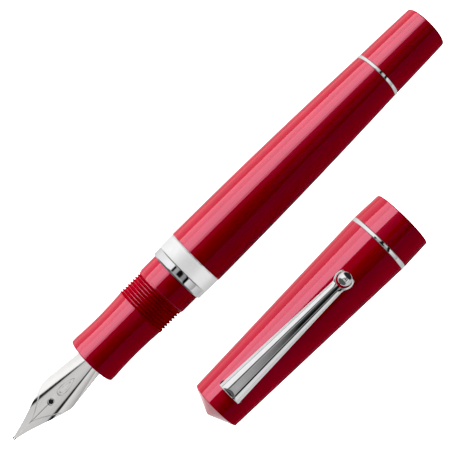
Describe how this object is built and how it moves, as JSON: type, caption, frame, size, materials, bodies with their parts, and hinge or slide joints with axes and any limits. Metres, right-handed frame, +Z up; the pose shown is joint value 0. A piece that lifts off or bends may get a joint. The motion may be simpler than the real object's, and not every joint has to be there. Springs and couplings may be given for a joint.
{
  "type": "fountain pen",
  "caption": "Uncapped fountain pen of polished resin with metal trim, converter inside, and its screw cap with a roller clip lying beside it.",
  "frame": {"origin": "on the pen's axis, at the front of the metal bead where the cap's mouth seats", "axes": "+X along the pen's axis towards the tail (the nib points to -X), +Z up from the table, cap lying on the -Y side with its axis parallel to X"},
  "size_m": [0.1284, 0.0411, 0.0183],
  "materials": {
    "resin": "polished red resin",
    "satin_metal": "satin silver-toned band",
    "polished_metal": "polished plated brass",
    "brass": "turned brass",
    "nib_steel": "polished stainless steel with fine engraved lines",
    "tipping": "ground hard alloy",
    "feed_plastic": "black moulded plastic",
    "liner_plastic": "black moulded plastic",
    "clear_plastic": "clear moulded plastic",
    "ferrule_metal": "plated sleeve",
    "knob_plastic": "black fluted knob",
    "rod_plastic": "pale plastic",
    "seal_rubber": "soft black seal"
  },
  "bodies": {
    "barrel": {"barrel": "resin", "centre_band": "satin_metal", "band_bead": "polished_metal", "barrel_bush": "brass"},
    "section": {"section": "resin", "nib_housing": "feed_plastic", "nib": "nib_steel", "nib_tipping": "tipping", "feed": "feed_plastic"},
    "converter": {"converter_tube": "clear_plastic", "converter_ferrule": "ferrule_metal"},
    "knob": {"converter_knob": "knob_plastic"},
    "piston": {"piston_rod": "rod_plastic", "piston_seal": "seal_rubber"},
    "tail_ring": {"tail_ring": "polished_metal"},
    "tail_cap": {"tail_cap": "resin"},
    "cap": {"cap_tube": "resin", "cap_ring": "polished_metal", "inner_cap": "liner_plastic"},
    "clip": {"clip": "polished_metal", "roller_axle": "polished_metal"},
    "roller": {"clip_roller": "polished_metal"}
  },
  "joints": [
    {"name": "section_pull", "type": "slide", "parent": "barrel", "child": "section", "axis": [-1, 0, 0], "range_m": [0, 0.1158]},
    {"name": "converter_pull", "type": "slide", "parent": "section", "child": "converter", "axis": [1, 0, 0], "range_m": [0, 0.006]},
    {"name": "knob_turn", "type": "hinge", "parent": "converter", "child": "knob", "pos_m": [0.058, 0, 0], "axis": [1, 0, 0], "range_deg": [0, 3610]},
    {"name": "piston_travel", "type": "slide", "parent": "converter", "child": "piston", "axis": [-1, 0, 0], "range_m": [0, 0.02]},
    {"name": "tail_travel", "type": "slide", "parent": "barrel", "child": "tail_ring", "axis": [1, 0, 0], "range_m": [0, 0.009]},
    {"name": "tail_turn", "type": "hinge", "parent": "tail_ring", "child": "tail_cap", "pos_m": [0.07, 0, 0], "axis": [1, 0, 0], "range_deg": [0, 3250]},
    {"name": "cap_to_nib", "type": "slide", "parent": "barrel", "child": "cap", "axis": [-0.9869, 0.1616, -0.0033], "range_m": [0, 0.16213]},
    {"name": "clip_flex", "type": "hinge", "parent": "cap", "child": "clip", "pos_m": [-0.00875, -0.02582, 0.00672], "axis": [0, -0.9981, 0.061], "range_deg": [0, 4], "stiffness_Nm_per_rad": 6},
    {"name": "roller_spin", "type": "hinge", "parent": "clip", "child": "roller", "pos_m": [0.0255, -0.02565, 0.00953], "axis": [0, 0.9981, -0.061], "continuous": true}
  ],
  "couplings": [
    {"joint": "knob_turn", "follows": "piston_travel", "rad_per_m": 3141.6},
    {"joint": "tail_turn", "follows": "tail_travel", "rad_per_m": 6283.2}
  ]
}
